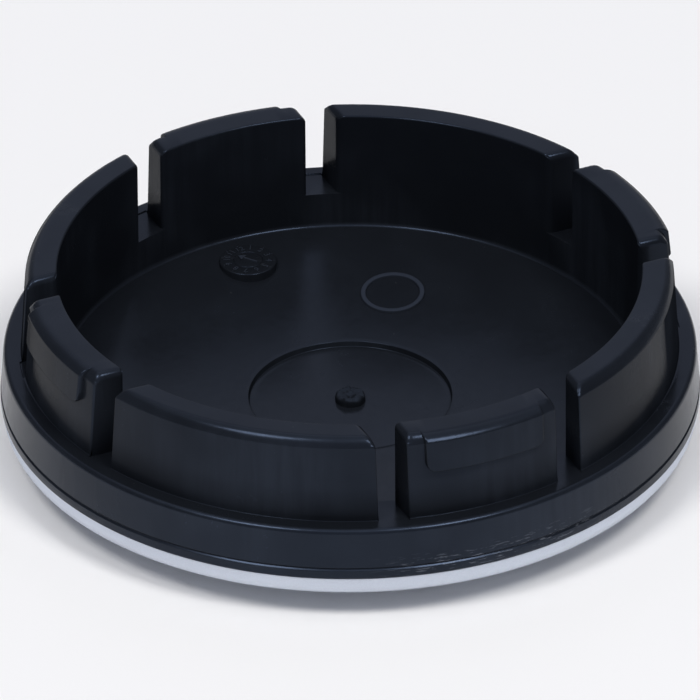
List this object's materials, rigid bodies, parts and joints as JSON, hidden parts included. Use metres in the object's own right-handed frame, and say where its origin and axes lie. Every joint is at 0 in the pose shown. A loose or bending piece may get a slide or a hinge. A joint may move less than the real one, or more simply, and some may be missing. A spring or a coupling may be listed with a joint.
{
  "type": "wheel centre cap",
  "caption": "Round snap-in wheel centre cap with a flange, a slotted and barbed clip ring, a domed floor and a silver face disc.",
  "frame": {"origin": "centre of the bounding box's bottom: the flat middle of the domed face, on which the cap lies", "axes": "+Z along the cap's axis, from the face towards the clips; the barbed clips stand on the X and Y axes"},
  "size_m": [0.06, 0.06, 0.0166],
  "materials": {
    "body": "black moulded plastic with a soft sheen",
    "face": "smooth silver paint"
  },
  "bodies": {
    "root": {"clip_body": "body", "face_disc": "face"}
  },
  "joints": []
}
